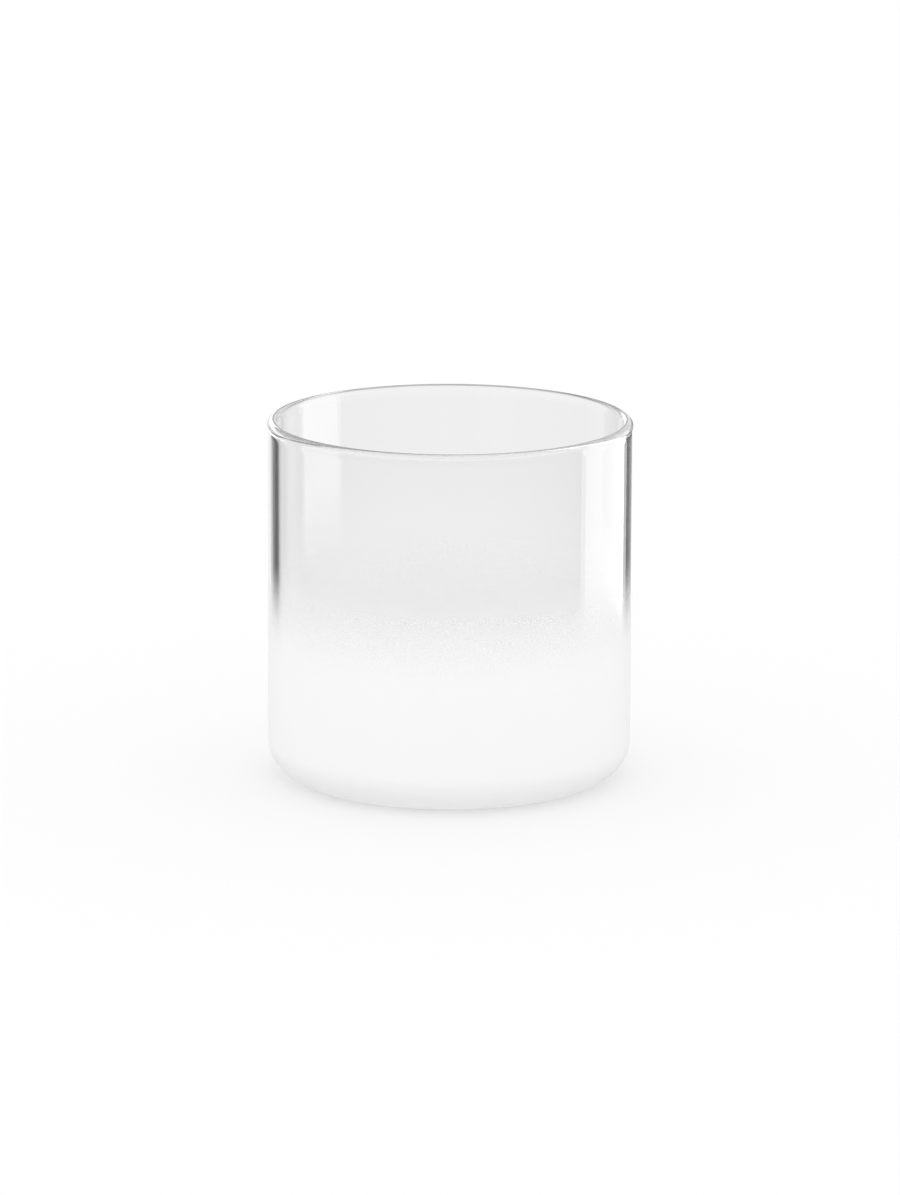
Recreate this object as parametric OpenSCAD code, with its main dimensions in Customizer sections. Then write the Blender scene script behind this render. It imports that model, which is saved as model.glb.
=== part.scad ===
// Straight drinking tumbler of clear glass, with an opaque white coat sprayed on its outside.
// The coat covers the whole base and the lower wall, and thins out to nothing half way up.
// It is one layer, kept in two nodes that meet edge to edge where the heel runs into the
// standing ring: the base coat is what the glass stands on, the wall coat is a skin above it.
// The origin is on the axis, in the plane that the glass stands on, and +Z is up.

/* [Glass] */
// Outer diameter of the straight wall
glass_d = 80; // [60:1:100]
// Height from the table to the top of the lip
glass_h = 80; // [66:1:120]
// Thickness of the wall
wall_t = 2.3; // [1.5:0.1:3]

/* [Lip] */
// How far the fire-polished lip stands out from the wall
lip_bulge = 0.2; // [0.1:0.05:0.6]
// Radius of the hollow curve that leads from the wall up into the lip
lip_blend_r = 6; // [3:0.5:12]

/* [Base] */
// Outer rounding between the wall and the standing ring
heel_r = 8; // [5:0.5:12]
// Inner rounding between the wall and the inner floor
inner_heel_r = 9; // [5:0.5:14]
// Height of the inner floor above the table
floor_h = 6; // [4.5:0.1:10]
// Width of the flat ring that the glass stands on
ring_w = 3.5; // [1.5:0.5:6]
// Depth of the hollow in the middle of the underside
punt_h = 1.5; // [0.8:0.1:2.5]

/* [Coat] */
// Thickness of the coat where it is full
coat_t = 0.15; // [0.1:0.01:0.3]
// Thickness of the coat at its upper edge
coat_edge_t = 0.05; // [0.03:0.01:0.08]
// Height up to which the coat is full
coat_full_h = 26; // [15:1:32]
// Height of the band above that in which the coat thins out
coat_fade_h = 24; // [8:1:28]

/* [Hidden] */
$fn = 180;
// The underside's hollow is so shallow that its large circle needs finer steps
punt_fn = 1440;
// How far a cut runs past what it cuts
overrun = 1;
// How far the lip's bead and the curve under it reach into each other
lip_crossing = 0.002;

wall_r = glass_d / 2;
bore_r = wall_r - wall_t;

// The lip is a round bead that is flush with the bore and stands out from the wall
lip_r = (wall_t + lip_bulge) / 2;
lip_x = bore_r + lip_r;
lip_z = glass_h - lip_r;

// The blend curve runs off the wall and into the bead: its centre is one blend radius outside
// the wall, and as far from the bead's middle as both radii together, less a hair, so that the
// two curves cross and don't only touch
blend_x = wall_r + lip_blend_r;
blend_z = lip_z - sqrt(pow(lip_blend_r + lip_r - lip_crossing, 2) - pow(blend_x - lip_x, 2));

// The glass stands on the coat under it, so its own underside is one coat above the table
heel_x = wall_r - heel_r;
heel_z = coat_t + heel_r;
inner_heel_x = bore_r - inner_heel_r;
inner_heel_z = floor_h + inner_heel_r;

// The hollow is part of a large ball that meets the underside at the ring's inner edge
punt_rim_r = heel_x - ring_w;
punt_top_h = coat_t + punt_h;
punt_ball_r = (pow(punt_rim_r, 2) + pow(punt_h, 2)) / (2 * punt_h);
punt_ball_z = punt_top_h - punt_ball_r;

coat_top_h = coat_full_h + coat_fade_h;

// Half section of a plate: from the axis out to radius r, between two heights
module slab_half(r, low, high) {
    translate([0, low]) square([r, high - low]);
}

// Half section of the glass as if it were solid, up to the middle of the lip's bead
module outer_half() {
    slab_half(wall_r, heel_z, lip_z);
    slab_half(heel_x, coat_t, lip_z);
    translate([heel_x, heel_z]) circle(r = heel_r);
}

// Half section of the bead and of the hollow curve under it
module lip_half() {
    translate([lip_x, lip_z]) circle(r = lip_r);
    difference() {
        polygon([[lip_x, blend_z], [blend_x, blend_z], [lip_x, lip_z]]);
        translate([blend_x, blend_z]) circle(r = lip_blend_r);
    }
}

// Half section of the space inside the glass, running out past its mouth
module bore_half() {
    slab_half(bore_r, inner_heel_z, glass_h + overrun);
    slab_half(inner_heel_x, floor_h, inner_heel_z + overrun);
    intersection() {
        translate([inner_heel_x, inner_heel_z]) circle(r = inner_heel_r);
        slab_half(bore_r, floor_h, inner_heel_z + overrun);
    }
}

// Half section of the ball that hollows out the underside, made smaller by inset
module punt_half(inset) {
    intersection() {
        translate([0, punt_ball_z]) circle(r = punt_ball_r - inset, $fn = punt_fn);
        slab_half(heel_x, -overrun, punt_top_h + overrun);
    }
}

module glass_body() {
    color([0.86, 0.92, 0.91, 0.45])
        rotate_extrude()
            difference() {
                union() {
                    outer_half();
                    lip_half();
                }
                bore_half();
                punt_half(0);
            }
}

// Coat on the heel and the wall: full thickness up to coat_full_h, then thinning out
module wall_coat() {
    color("white")
        rotate_extrude() {
            intersection() {
                difference() {
                    translate([heel_x, heel_z]) circle(r = heel_r + coat_t);
                    translate([heel_x, heel_z]) circle(r = heel_r);
                }
                translate([heel_x, 0]) square([heel_r + overrun, heel_z]);
            }
            translate([wall_r, heel_z]) square([coat_t, coat_full_h - heel_z]);
            polygon([
                [wall_r, coat_full_h],
                [wall_r + coat_t, coat_full_h],
                [wall_r + coat_edge_t, coat_top_h],
                [wall_r, coat_top_h]
            ]);
        }
}

// Coat on the standing ring and in the hollow inside it
module base_coat() {
    color("white")
        rotate_extrude()
            difference() {
                union() {
                    slab_half(heel_x, 0, coat_t);
                    intersection() {
                        punt_half(0);
                        slab_half(heel_x, 0, punt_top_h);
                    }
                }
                punt_half(coat_t);
            }
}

glass_body();
wall_coat();
base_coat();
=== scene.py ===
"""Looks of the drinking glass: its clear body, its sprayed white coat, and a pale studio."""

import math

import bpy
from mathutils import Matrix, Vector


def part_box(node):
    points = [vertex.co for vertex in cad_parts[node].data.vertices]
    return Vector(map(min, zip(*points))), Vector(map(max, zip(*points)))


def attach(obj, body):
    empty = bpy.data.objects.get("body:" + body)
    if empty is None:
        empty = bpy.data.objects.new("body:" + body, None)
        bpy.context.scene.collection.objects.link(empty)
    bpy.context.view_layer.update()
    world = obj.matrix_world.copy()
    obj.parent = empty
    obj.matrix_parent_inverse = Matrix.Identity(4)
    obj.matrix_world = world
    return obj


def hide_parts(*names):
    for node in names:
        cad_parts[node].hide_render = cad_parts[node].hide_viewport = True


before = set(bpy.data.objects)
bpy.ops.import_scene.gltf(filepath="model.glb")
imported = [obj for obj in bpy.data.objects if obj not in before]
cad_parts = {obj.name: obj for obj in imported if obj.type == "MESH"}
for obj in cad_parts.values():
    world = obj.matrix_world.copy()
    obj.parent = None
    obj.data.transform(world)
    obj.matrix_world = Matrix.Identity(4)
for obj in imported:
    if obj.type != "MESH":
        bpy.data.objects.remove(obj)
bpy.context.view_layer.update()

MM = 0.001

# Camera: the photograph's view, fitted to the glass's outline
CAMERA_DISTANCE = 1.3795
CAMERA_ELEVATION = math.radians(13.122)
CAMERA_ROLL = math.radians(0.225)
AIM_X = 0.097 * MM
AIM_Z = 39.62 * MM
LENS_MM = 188.15
SENSOR_MM = 36.0
NEAREST_SEEN = 0.05
FARTHEST_SEEN = 50

# Sizes that the frame's boxes give
glass_low, glass_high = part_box("glass_body")
wall_coat_low, wall_coat_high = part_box("wall_coat")
base_coat_low, base_coat_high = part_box("base_coat")
COAT_T = glass_low.z
WALL_R = wall_coat_high.x - COAT_T
HEEL_X = base_coat_high.x
HEEL_R = WALL_R - HEEL_X
HEEL_Z = COAT_T + HEEL_R
PUNT_TOP_Z = base_coat_high.z
COAT_TOP_Z = wall_coat_high.z
GLASS_TOP_Z = glass_high.z
LIP_BULGE = glass_high.x - WALL_R

# Sizes that lie inside the boxes
WALL_T = 2.3 * MM
LIP_BLEND_R = 6 * MM
INNER_HEEL_R = 9 * MM
FLOOR_Z = 6 * MM
RING_W = 3.5 * MM
COAT_EDGE_T = 0.05 * MM
COAT_FULL_Z = 26 * MM
# Air between the glass and its coat, so that the two meshes never share a surface
COAT_GAP = 0.01 * MM

BORE_R = WALL_R - WALL_T
LIP_R = (WALL_T + LIP_BULGE) / 2
LIP_X = BORE_R + LIP_R
LIP_Z = GLASS_TOP_Z - LIP_R
BLEND_X = WALL_R + LIP_BLEND_R
BLEND_Z = LIP_Z - math.sqrt((LIP_BLEND_R + LIP_R) ** 2 - (BLEND_X - LIP_X) ** 2)
PUNT_RIM_R = HEEL_X - RING_W
PUNT_H = PUNT_TOP_Z - COAT_T
PUNT_BALL_R = (PUNT_RIM_R**2 + PUNT_H**2) / (2 * PUNT_H)
PUNT_BALL_Z = PUNT_TOP_Z - PUNT_BALL_R

# Fineness of the turned meshes
SEGMENTS = 288
ARC_STEP = math.radians(3)
PUNT_STEPS = 6
# Straight stretches get a point this far from each end, so that the shading of an arc stops there
SUPPORT = 0.25 * MM


def arc(x, z, r, start, end):
    """Points along an arc of a half section, from one angle to the other."""
    steps = max(2, math.ceil(abs(end - start) / ARC_STEP))
    angles = [start + (end - start) * i / steps for i in range(steps + 1)]
    return [(x + r * math.cos(a), z + r * math.sin(a)) for a in angles]


def straight(start, end):
    """The two points just inside the ends of a straight stretch."""
    (x0, z0), (x1, z1) = start, end
    share = SUPPORT / math.hypot(x1 - x0, z1 - z0)
    return [(x0 + (x1 - x0) * s, z0 + (z1 - z0) * s) for s in (share, 1 - share)]


def outline(*stretches):
    """Arcs, with a straight stretch from the end of each to the start of the next."""
    points = list(stretches[0])
    for stretch in stretches[1:]:
        points += straight(points[-1], stretch[0]) + list(stretch)
    return points


def turned(name, points, back_from=None):
    """A closed body turned about the axis, whose first and last points lie on the axis.
    Rings from back_from on are the body's back, which has the second material."""
    verts, rings = [], []
    for r, z in points[1:-1]:
        rings.append(range(len(verts), len(verts) + SEGMENTS))
        for i in range(SEGMENTS):
            a = math.tau * i / SEGMENTS
            verts.append((r * math.cos(a), r * math.sin(a), z))
    first, last = len(verts), len(verts) + 1
    verts += [(0, 0, points[0][1]), (0, 0, points[-1][1])]
    bands = list(zip(rings, rings[1:]))
    faces = []
    for i in range(SEGMENTS):
        j = (i + 1) % SEGMENTS
        faces.append((first, rings[0][j], rings[0][i]))
        faces.append((last, rings[-1][i], rings[-1][j]))
        faces += [(low[i], low[j], high[j], high[i]) for low, high in bands]
    mesh = bpy.data.meshes.new(name)
    mesh.from_pydata(verts, [], faces)
    mesh.shade_smooth()
    if back_from:
        # The faces of one segment: the first and last triangle, then the bands in between
        one_segment = [0, 1] + [int(band + 1 >= back_from) for band in range(len(bands))]
        mesh.polygons.foreach_set("material_index", one_segment * SEGMENTS)
    obj = bpy.data.objects.new(name, mesh)
    bpy.context.scene.collection.objects.link(obj)
    return obj


def punt_arc(inset):
    """The hollow of the underside, from the axis out to the standing ring."""
    r = PUNT_BALL_R - inset
    rim_z = COAT_T - inset
    rim = math.atan2(rim_z - PUNT_BALL_Z, math.sqrt(r**2 - (rim_z - PUNT_BALL_Z) ** 2))
    angles = [math.pi / 2 + (rim - math.pi / 2) * i / PUNT_STEPS for i in range(PUNT_STEPS + 1)]
    return [(r * math.cos(a), PUNT_BALL_Z + r * math.sin(a)) for a in angles]


def heel_arc(outset):
    """The rounding between the standing ring and the wall."""
    return arc(HEEL_X, HEEL_Z, HEEL_R + outset, -math.pi / 2, 0)


def glass_outline():
    """Underside, heel, wall, the curve into the lip, the lip's bead, the bore and the floor."""
    into_lip = math.atan2(LIP_Z - BLEND_Z, LIP_X - BLEND_X)
    return outline(
        punt_arc(0),
        heel_arc(0),
        arc(BLEND_X, BLEND_Z, LIP_BLEND_R, math.pi, into_lip)[:-1]
        + arc(LIP_X, LIP_Z, LIP_R, into_lip - math.pi, math.pi),
        arc(BORE_R - INNER_HEEL_R, FLOOR_Z + INNER_HEEL_R, INNER_HEEL_R, 0, -math.pi / 2),
        [(0, FLOOR_Z)],
    )


def coat_outline():
    """The coat's outer face, from the axis up to its upper edge, and its inner face, back down."""
    outer = outline(
        punt_arc(COAT_T),
        heel_arc(COAT_T),
        [(WALL_R + COAT_T, COAT_FULL_Z)],
        [(WALL_R + COAT_EDGE_T, COAT_TOP_Z)],
    )
    inner = outline(punt_arc(COAT_GAP), heel_arc(COAT_GAP), [(WALL_R + COAT_GAP, COAT_TOP_Z)])
    return outer, inner[::-1]


class Tree:
    """A node tree that is built one node at a time."""

    def __init__(self, owner):
        owner.use_nodes = True
        self.tree = owner.node_tree
        self.tree.nodes.clear()

    def add(self, kind, inputs=(), **settings):
        """A node with its settings and inputs: an input is a value or an output to link."""
        node = self.tree.nodes.new(kind)
        for name, value in settings.items():
            setattr(node, name, value)
        for name, value in dict(inputs).items():
            if isinstance(value, bpy.types.NodeSocket):
                self.tree.links.new(value, node.inputs[name])
            else:
                node.inputs[name].default_value = value
        return node

    def math(self, operation, a, b=0.0, clamp=False):
        """The result of one sum on numbers or outputs."""
        node = self.add("ShaderNodeMath", {0: a, 1: b}, operation=operation, use_clamp=clamp)
        return node.outputs[0]

    def range(self, value, low, high, to_low, to_high, smooth=False):
        """A value taken from one range to another, and held at its ends."""
        node = self.add(
            "ShaderNodeMapRange",
            {"Value": value, "From Min": low, "From Max": high, "To Min": to_low, "To Max": to_high},
            interpolation_type="SMOOTHSTEP" if smooth else "LINEAR",
        )
        return node.outputs["Result"]

    def between(self, value, low, high):
        """1 where a whole number lies from low to high, and otherwise 0."""
        above = self.math("GREATER_THAN", value, low - 0.5)
        below = self.math("LESS_THAN", value, high + 0.5)
        return self.math("MULTIPLY", above, below)

    def mix(self, share, a, b):
        """Two numbers mixed."""
        return self.add("ShaderNodeMix", {"Factor": share, "A": a, "B": b}).outputs["Result"]

    def ramp(self, angle, stops):
        """A level read off (degrees, level) stops that run from -180 to 180."""
        turn = self.range(angle, -math.pi, math.pi, 0.0, 1.0)
        node = self.add("ShaderNodeValToRGB", {"Fac": turn})
        elements = node.color_ramp.elements
        while len(elements) < len(stops):
            elements.new(0.5)
        for element, (degrees, level) in zip(elements, stops):
            element.position = (degrees + 180) / 360
            element.color = grey(level)
        return node.outputs["Color"]


def grey(level):
    """A neutral colour."""
    return (level, level, level, 1)


# Glass
GLASS_IOR = 1.5
GLASS_TINT = (0.995, 0.997, 0.996, 1)

# Coat
COAT_COLOUR = (0.99, 0.99, 0.988, 1)
COAT_ROUGHNESS = 0.62
ROUGHNESS_SPREAD = 0.06
BUMP_STRENGTH = 0.15
BUMP_HEIGHT = 0.03 * MM
# The share of the light that goes through the coat rather than back from it
COAT_GLOW = 0.15
# The coat's cover falls off between these heights
FADE_START_Z = 51 * MM
FADE_END_Z = 27.5 * MM
# The size of the pattern's droplets and of its soft patches, and how much each changes the cover
DROPLET = 0.14 * MM
DROPLET_DETAIL = 1.0
DROPLET_SHARPNESS = 0.6
GRAIN = 0.8
BLOTCH = 14 * MM
BLOTCH_DETAIL = 2.0
UNEVENNESS = 0.1
# The pattern runs from 0 to 1, and lies mostly this close to 0.5
NOISE_SPREAD = 0.2


def glass_material():
    """Clear polished glass."""
    mat = bpy.data.materials.new("clear_glass")
    t = Tree(mat)
    shader = t.add(
        "ShaderNodeBsdfPrincipled",
        {"Base Color": GLASS_TINT, "Roughness": 0.0, "IOR": GLASS_IOR, "Transmission Weight": 1.0},
    )
    t.add("ShaderNodeOutputMaterial", {"Surface": shader.outputs[0]})
    return mat


def coat_material():
    """Matt white spray: full on the base, and ever fewer droplets up the wall."""
    mat = bpy.data.materials.new("white_coat")
    t = Tree(mat)
    place = t.add("ShaderNodeTexCoord").outputs["Object"]
    xyz = t.add("ShaderNodeSeparateXYZ", {0: place}).outputs
    # Both faces of the coat read the pattern on one drum, so that a droplet goes right through
    flat = t.add("ShaderNodeVectorMath", {0: place, 1: (1, 1, 0)}, operation="MULTIPLY")
    around = t.add("ShaderNodeVectorMath", {0: flat.outputs[0]}, operation="NORMALIZE")
    up = t.add("ShaderNodeCombineXYZ", {"Z": t.math("DIVIDE", xyz["Z"], WALL_R)})
    on_drum = t.add(
        "ShaderNodeVectorMath", {0: around.outputs[0], 1: up.outputs[0]}, operation="ADD"
    )
    drum = on_drum.outputs[0]
    droplets = t.add(
        "ShaderNodeTexNoise",
        {
            "Vector": drum,
            "Scale": WALL_R / DROPLET,
            "Detail": DROPLET_DETAIL,
            "Roughness": DROPLET_SHARPNESS,
        },
    ).outputs["Fac"]
    blotches = t.add(
        "ShaderNodeTexNoise",
        {"Vector": drum, "Scale": WALL_R / BLOTCH, "Detail": BLOTCH_DETAIL},
    ).outputs["Fac"]
    # The share of the glass that is covered falls off smoothly with height
    share = t.range(xyz["Z"], FADE_START_Z, FADE_END_Z, 0.0, 1.0, smooth=True)
    uneven = t.math("MULTIPLY", t.math("SUBTRACT", blotches, 0.5), UNEVENNESS)
    grain = t.math("MULTIPLY", t.math("SUBTRACT", droplets, 0.5), GRAIN)
    # 1 where half of the glass is covered, and 0 where the coat is full or gone
    fade = t.math("MULTIPLY", t.math("MULTIPLY", share, t.math("SUBTRACT", 1.0, share)), 4.0)
    loose = t.math("MULTIPLY", fade, t.math("ADD", grain, uneven))
    cover = t.math("ADD", share, loose, clamp=True)
    rough = t.range(
        droplets,
        0.5 - NOISE_SPREAD,
        0.5 + NOISE_SPREAD,
        COAT_ROUGHNESS - ROUGHNESS_SPREAD,
        COAT_ROUGHNESS + ROUGHNESS_SPREAD,
    )
    bump = t.add(
        "ShaderNodeBump",
        {"Strength": BUMP_STRENGTH, "Distance": BUMP_HEIGHT, "Height": droplets},
    )
    matt = t.add(
        "ShaderNodeBsdfPrincipled",
        {"Base Color": COAT_COLOUR, "Roughness": rough, "Normal": bump.outputs[0]},
    )
    glow = t.add("ShaderNodeBsdfTranslucent", {"Color": COAT_COLOUR})
    coat = t.add("ShaderNodeMixShader", {0: COAT_GLOW, 1: matt.outputs[0], 2: glow.outputs[0]})
    clear = t.add("ShaderNodeBsdfTransparent")
    shader = t.add("ShaderNodeMixShader", {0: cover, 1: clear.outputs[0], 2: coat.outputs[0]})
    t.add("ShaderNodeOutputMaterial", {"Surface": shader.outputs[0]})
    return mat


def clear_material():
    """The coat's inner face, which adds nothing, so that light meets the one layer only once."""
    mat = bpy.data.materials.new("coat_inner_face")
    t = Tree(mat)
    clear = t.add("ShaderNodeBsdfTransparent")
    t.add("ShaderNodeOutputMaterial", {"Surface": clear.outputs[0]})
    return mat


# Stage
FLOOR_HALF = 8.0
FLOOR_ALBEDO = 0.7
# For light that has left the lip, the floor round the glass is painted darker: painted shade that draws
# the line along the lip's far side. Light that has left the wall lower down doesn't see it
BEHIND_PAINTED_SHADE = 0.35
BEHIND_R = 110 * MM
BEHIND_END_R = 140 * MM
LEFT_WALL_Z = 70 * MM
LEFT_LIP_Z = 74 * MM
# A hair under the object, so that the coat's underside doesn't lie in the same plane
STAGE_Z = -0.03 * MM
# Close round the foot the floor glows a little, which lightens the coat's lowest band
FOOT_GLOW = 0.22
FOOT_GLOW_R = 36 * MM
FOOT_GLOW_END_R = 41.5 * MM
# The panel and the flag are upright sheets that only reflections see, and reach from here to here
UPRIGHT_BOTTOM_Z = -400 * MM
UPRIGHT_TOP_Z = 500 * MM
# The panel is bright and stands on the right
PANEL_X = 218 * MM
PANEL_FRONT_Y = -9 * MM
PANEL_BACK_Y = 300 * MM
PANEL_LEVEL = 1.55
# The flag is darker and stands close behind the glass. Without it, seen from the left, the glass's
# back edge would mirror the panel and be lost against the white backdrop
FLAG_X = 5 * MM
FLAG_FRONT_Y = 41 * MM
FLAG_BACK_Y = 110 * MM
FLAG_LEVEL = 0.4
# The levels of what the glass mirrors in the distance
BACKDROP_LEVEL = 0.9
DARK_LEVEL = 0.12
FRONT_LEVEL = 0.45
SIDE_LEVEL = 0.75
PANEL_END_LEVEL = 0.28
FLANK_LEVEL = 2.3
BAR_LEVEL = 0.03
# Where they lie, by azimuth in degrees: 0 is straight behind the glass, and 90 is to the right
PLAIN = [(-180, BACKDROP_LEVEL), (180, BACKDROP_LEVEL)]
LOW = [
    (-180, DARK_LEVEL),
    (-24, DARK_LEVEL),
    (-20, BACKDROP_LEVEL),
    (8, BACKDROP_LEVEL),
    (10, DARK_LEVEL),
    (95, PANEL_END_LEVEL),
    (150, DARK_LEVEL),
    (180, DARK_LEVEL),
]
# What the wall mirrors, in level views too
MIDDLE = [
    (-180, FRONT_LEVEL),
    (-75, FRONT_LEVEL),
    (-58, SIDE_LEVEL),
    (-42, SIDE_LEVEL),
    (-38, DARK_LEVEL),
    (-22, DARK_LEVEL),
    (-20, BACKDROP_LEVEL),
    (8, BACKDROP_LEVEL),
    (10, DARK_LEVEL),
    (95, PANEL_END_LEVEL),
    (150, FRONT_LEVEL),
    (180, FRONT_LEVEL),
]
# What the lip mirrors: a dark bar along its long edges, and the bar's bright flanks at its ends
HIGH = [
    (-180, BACKDROP_LEVEL),
    (-50, BACKDROP_LEVEL),
    (-45, FLANK_LEVEL),
    (-5, FLANK_LEVEL),
    (-3, BAR_LEVEL),
    (2, BAR_LEVEL),
    (4, BACKDROP_LEVEL),
    (180, BACKDROP_LEVEL),
]
HIGHER = [
    (-180, BACKDROP_LEVEL),
    (-50, BACKDROP_LEVEL),
    (-45, BAR_LEVEL),
    (2, BAR_LEVEL),
    (4, BACKDROP_LEVEL),
    (180, BACKDROP_LEVEL),
]
# The elevation in degrees at which each gives way to the next, and half the width of that change
BANDS = [(-75, LOW), (-23, MIDDLE), (4, HIGH), (17, HIGHER), (70, PLAIN)]
BAND_BLEND = 2
# Light from all sides for matt surfaces
SKY_LEVEL = 1.17
# Light that the glass mirrors this often, at most, shows the studio
MIRRORINGS = 3
# Light that runs round inside the wall is mirrored this often, and for it the world is painted darker:
# painted shade along the lip
TRAPPED_FROM = 16
TRAPPED_TO = 64
TRAPPED_SHADE_LEVEL = 0.45


def mirrored(t):
    """1 for a ray that glass has mirrored a few times on its way here, with no matt surface between."""
    path = t.add("ShaderNodeLightPath").outputs
    few = t.between(path["Glossy Depth"], 1, MIRRORINGS)
    return t.math("MULTIPLY", few, t.between(path["Diffuse Depth"], 0, 0))


def height_left(t, ray_length, away):
    """How high up light left the glass, from how far it has come since and how far out it lands."""
    outward = t.math("SUBTRACT", away, WALL_R)
    rise = t.math("SUBTRACT", t.math("POWER", ray_length, 2.0), t.math("POWER", outward, 2.0))
    return t.math("SQRT", t.math("MAXIMUM", rise, 0.0))


def floor_material():
    """Pale matt floor, white for the camera but for the object's shadow, with a painted shade round the
    glass that only light from the lip sees. Mirrored rays look past it.
    """
    mat = bpy.data.materials.new("pale_floor")
    t = Tree(mat)
    path = t.add("ShaderNodeLightPath").outputs
    place = t.add("ShaderNodeTexCoord").outputs["Object"]
    away = t.add("ShaderNodeVectorMath", {0: place}, operation="LENGTH").outputs["Value"]
    # Painted shade: the floor round the glass is darker, for light that has left the lip only
    behind = t.range(away, BEHIND_R, BEHIND_END_R, BEHIND_PAINTED_SHADE, FLOOR_ALBEDO)
    direct = t.math("MULTIPLY", path["Is Transmission Ray"], t.between(path["Diffuse Depth"], 0, 0))
    high = t.range(height_left(t, path["Ray Length"], away), LEFT_WALL_Z, LEFT_LIP_Z, 0.0, 1.0)
    albedo = t.mix(t.math("MULTIPLY", direct, high), FLOOR_ALBEDO, behind)
    matt = t.add("ShaderNodeBsdfDiffuse", {"Color": albedo})
    glow = t.range(away, FOOT_GLOW_R, FOOT_GLOW_END_R, FOOT_GLOW, 0.0)
    # What open floor sends back. It is lifted to white for the camera, and through glass to the
    # backdrop's level
    lit = FLOOR_ALBEDO * SKY_LEVEL
    through_glass = t.mix(path["Is Transmission Ray"], glow, BACKDROP_LEVEL - lit)
    level = t.mix(path["Is Camera Ray"], through_glass, 1 - lit)
    lift = t.add("ShaderNodeEmission", {"Color": grey(1), "Strength": level})
    pale = t.add("ShaderNodeAddShader", {0: matt.outputs[0], 1: lift.outputs[0]})
    clear = t.add("ShaderNodeBsdfTransparent")
    mix = t.add("ShaderNodeMixShader", {0: mirrored(t), 1: pale.outputs[0], 2: clear.outputs[0]})
    t.add("ShaderNodeOutputMaterial", {"Surface": mix.outputs[0]})
    return mat


def reflected_material(name, level):
    """A level that shows in reflections alone."""
    mat = bpy.data.materials.new(name)
    t = Tree(mat)
    glow = t.add("ShaderNodeEmission", {"Color": grey(1), "Strength": level})
    clear = t.add("ShaderNodeBsdfTransparent")
    mix = t.add("ShaderNodeMixShader", {0: mirrored(t), 1: clear.outputs[0], 2: glow.outputs[0]})
    t.add("ShaderNodeOutputMaterial", {"Surface": mix.outputs[0]})
    return mat


def sheet(name, corners, material):
    """A flat four-cornered stage piece."""
    mesh = bpy.data.meshes.new(name)
    mesh.from_pydata(corners, [], [(0, 1, 2, 3)])
    mesh.materials.append(material)
    obj = bpy.data.objects.new(name, mesh)
    bpy.context.scene.collection.objects.link(obj)
    return obj


def upright(name, x, front_y, back_y, level):
    """An upright sheet from front to back, which shows in reflections alone."""
    low, high = UPRIGHT_BOTTOM_Z, UPRIGHT_TOP_Z
    corners = [(x, front_y, low), (x, front_y, high), (x, back_y, high), (x, back_y, low)]
    obj = sheet(name, corners, reflected_material(name, level))
    obj.visible_camera = False
    obj.visible_diffuse = False
    obj.visible_shadow = False


def build_stage():
    """Floor, and what only reflections see: the panel and the flag."""
    h, z = FLOOR_HALF, STAGE_Z
    sheet("floor", [(-h, -h, z), (h, -h, z), (h, h, z), (-h, h, z)], floor_material())
    upright("panel", PANEL_X, PANEL_FRONT_Y, PANEL_BACK_Y, PANEL_LEVEL)
    upright("flag", FLAG_X, FLAG_FRONT_Y, FLAG_BACK_Y, FLAG_LEVEL)


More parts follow.
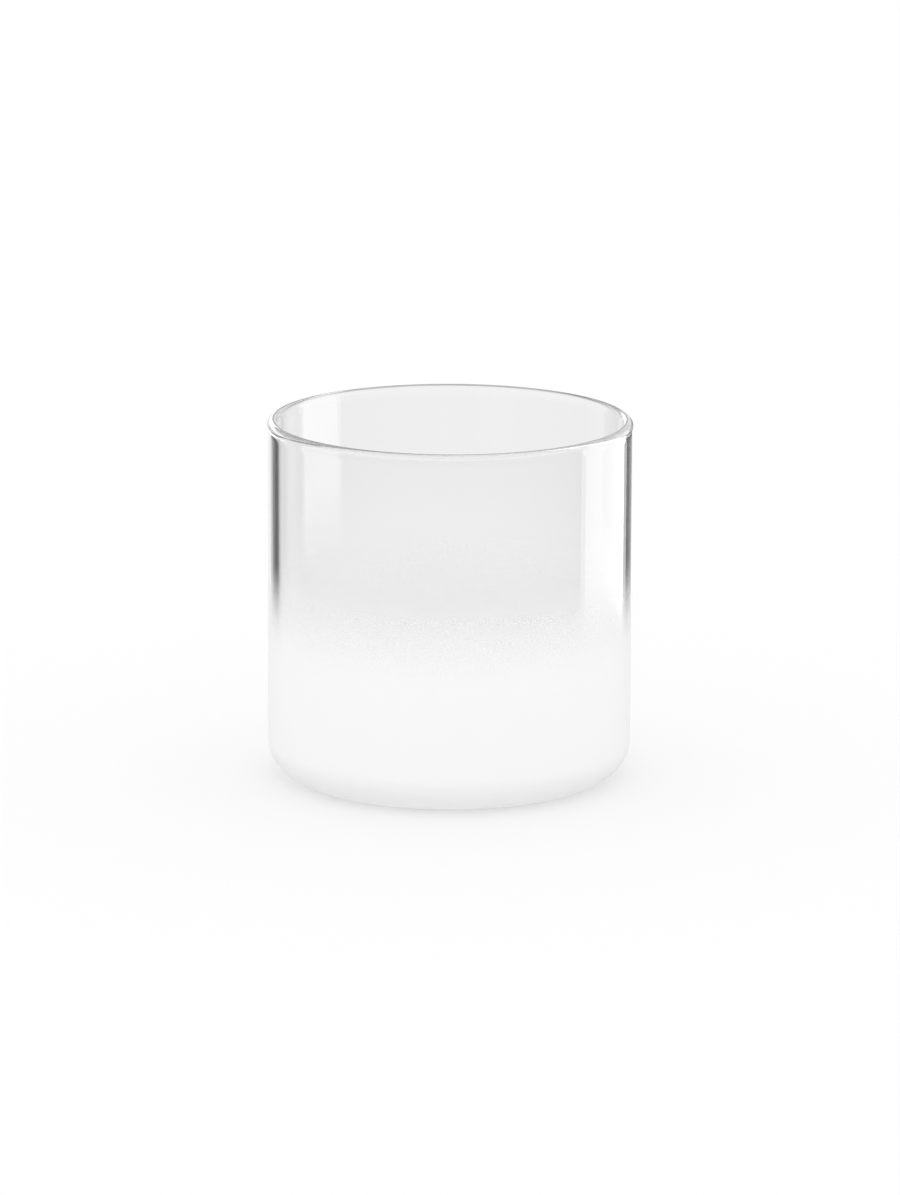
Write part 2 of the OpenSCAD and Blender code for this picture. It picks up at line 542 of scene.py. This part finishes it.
def build_world():
    """White light from all sides for what is matt. What glass mirrors is the studio."""
    world = bpy.data.worlds.new("studio")
    bpy.context.scene.world = world
    world.cycles.sampling_method = "NONE"
    t = Tree(world)
    path = t.add("ShaderNodeLightPath").outputs
    direction = t.add("ShaderNodeTexCoord").outputs["Generated"]
    xyz = t.add("ShaderNodeSeparateXYZ", {0: direction}).outputs
    azimuth = t.math("ARCTAN2", xyz["X"], xyz["Y"])
    elevation = t.math("ARCSINE", xyz["Z"])
    studio = t.ramp(azimuth, PLAIN)
    for start, stops in BANDS:
        low, high = math.radians(start - BAND_BLEND), math.radians(start + BAND_BLEND)
        studio = t.mix(t.range(elevation, low, high, 0, 1), studio, t.ramp(azimuth, stops))
    seen = t.mix(path["Is Transmission Ray"], 1.0, BACKDROP_LEVEL)
    plain = t.mix(path["Is Diffuse Ray"], seen, SKY_LEVEL)
    # Painted shade: light trapped in the wall sees a darker world
    trapped = t.between(path["Glossy Depth"], TRAPPED_FROM, TRAPPED_TO)
    shaded_for_trapped = t.math("MULTIPLY", plain, t.mix(trapped, 1.0, TRAPPED_SHADE_LEVEL))
    level = t.mix(mirrored(t), shaded_for_trapped, studio)
    background = t.add("ShaderNodeBackground", {"Color": grey(1), "Strength": level})
    t.add("ShaderNodeOutputWorld", {"Surface": background.outputs[0]})


def build_camera():
    """The photograph's camera."""
    data = bpy.data.cameras.new("camera")
    data.lens = LENS_MM
    data.sensor_width = SENSOR_MM
    data.clip_start = NEAREST_SEEN
    data.clip_end = FARTHEST_SEEN
    camera = bpy.data.objects.new("camera", data)
    bpy.context.scene.collection.objects.link(camera)
    aim = Vector((AIM_X, 0, AIM_Z))
    back = Vector((0, -math.cos(CAMERA_ELEVATION), math.sin(CAMERA_ELEVATION)))
    turn = (-back).to_track_quat("-Z", "Y").to_matrix().to_4x4()
    roll = Matrix.Rotation(CAMERA_ROLL, 4, "Z")
    camera.matrix_world = Matrix.Translation(aim + back * CAMERA_DISTANCE) @ turn @ roll
    bpy.context.scene.camera = camera


def build_glass():
    """The clear body."""
    glass = turned("glass", glass_outline())
    glass.data.materials.append(glass_material())
    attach(glass, "root")
    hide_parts("glass_body")


def build_coat():
    """The sprayed coat, one skin over base and wall."""
    outer, inner = coat_outline()
    coat = turned("coat", outer + inner, back_from=len(outer))
    coat.data.materials.append(coat_material())
    coat.data.materials.append(clear_material())
    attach(coat, "root")
    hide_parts("wall_coat", "base_coat")


def set_render():
    """Plain colours, and enough bounces for light that runs round inside the glass."""
    scene = bpy.context.scene
    scene.view_settings.view_transform = "Standard"
    scene.cycles.max_bounces = 400
    scene.cycles.diffuse_bounces = 8
    scene.cycles.glossy_bounces = 320
    scene.cycles.transmission_bounces = 64
    scene.cycles.transparent_max_bounces = 32
    # Light that goes through the glass after a matt surface stays sharp, and none is lost
    scene.cycles.blur_glossy = 0


build_camera()
build_stage()
build_world()
build_glass()
build_coat()
set_render()
